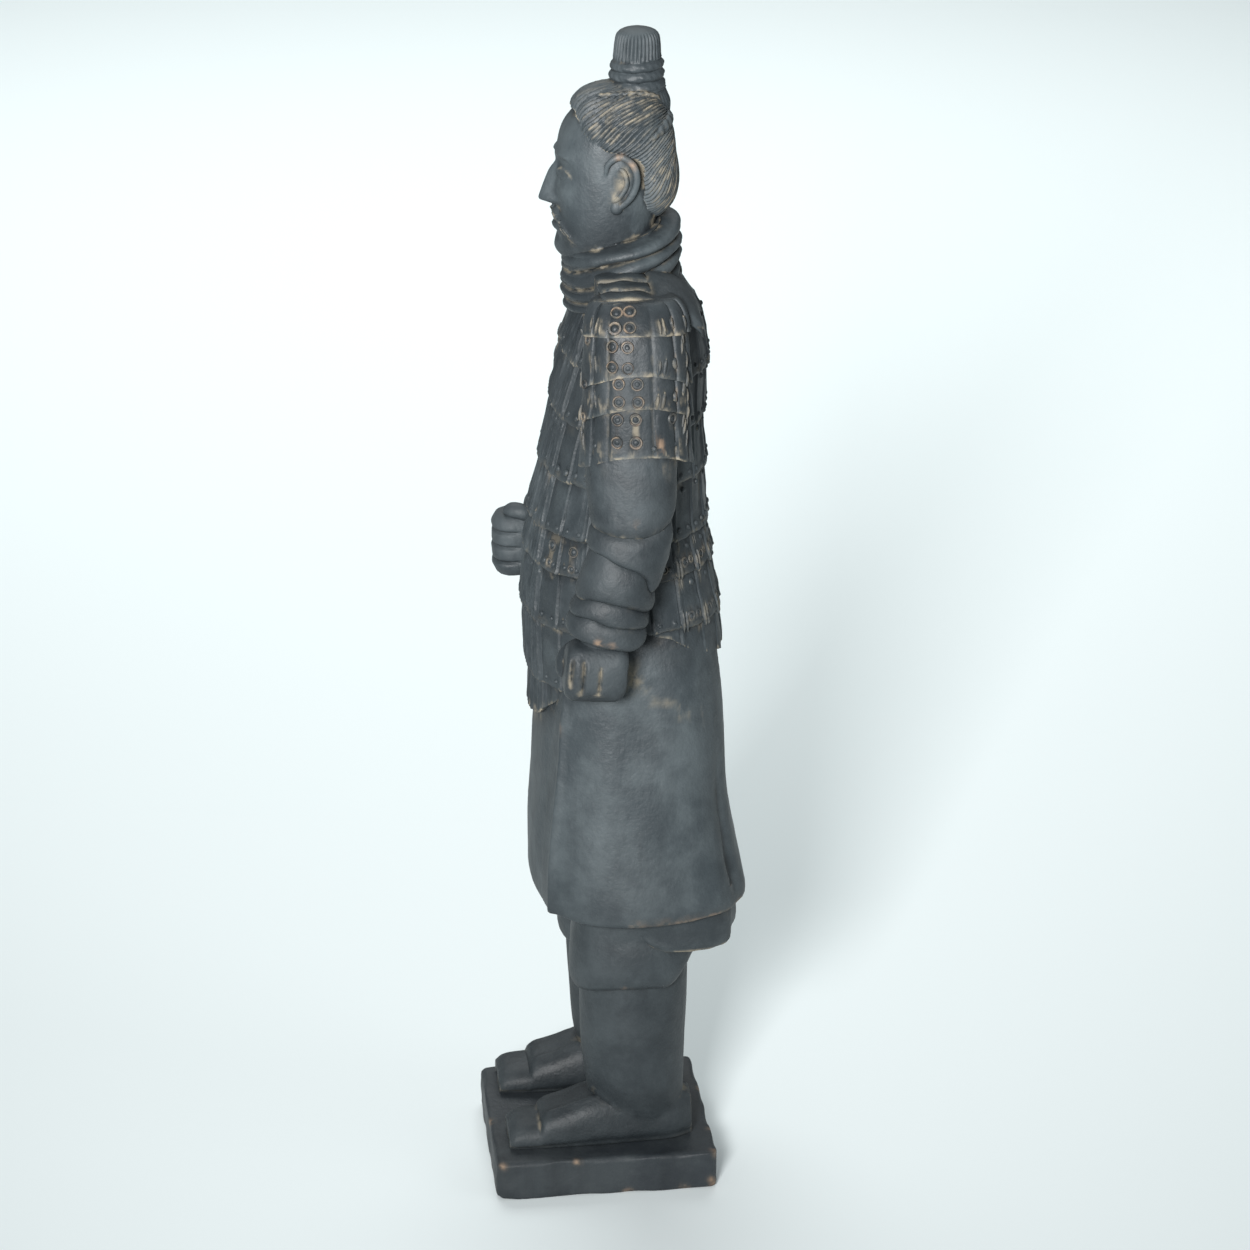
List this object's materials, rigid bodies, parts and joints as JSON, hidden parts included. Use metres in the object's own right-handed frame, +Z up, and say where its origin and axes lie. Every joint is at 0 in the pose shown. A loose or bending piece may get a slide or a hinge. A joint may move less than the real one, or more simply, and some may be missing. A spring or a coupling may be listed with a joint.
{
  "type": "terracotta warrior statue",
  "caption": "Standing armoured warrior figure of dark fired clay, with a topknot, a scarf and a plated coat, stuck on a slab plinth.",
  "frame": {"origin": "centre of the plinth's flat underside", "axes": "+Z up, -Y the way the warrior faces, +X its left side"},
  "size_m": [0.1376, 0.0991, 0.45],
  "materials": {
    "fired_clay": "matte dark slate-grey fired clay, burnished here and there, with tan dust in the creases",
    "plinth_clay": "matte dark slate-grey fired clay, rougher, with brown worn edges"
  },
  "bodies": {
    "root": {"figure": "fired_clay", "plinth": "plinth_clay"}
  },
  "joints": []
}
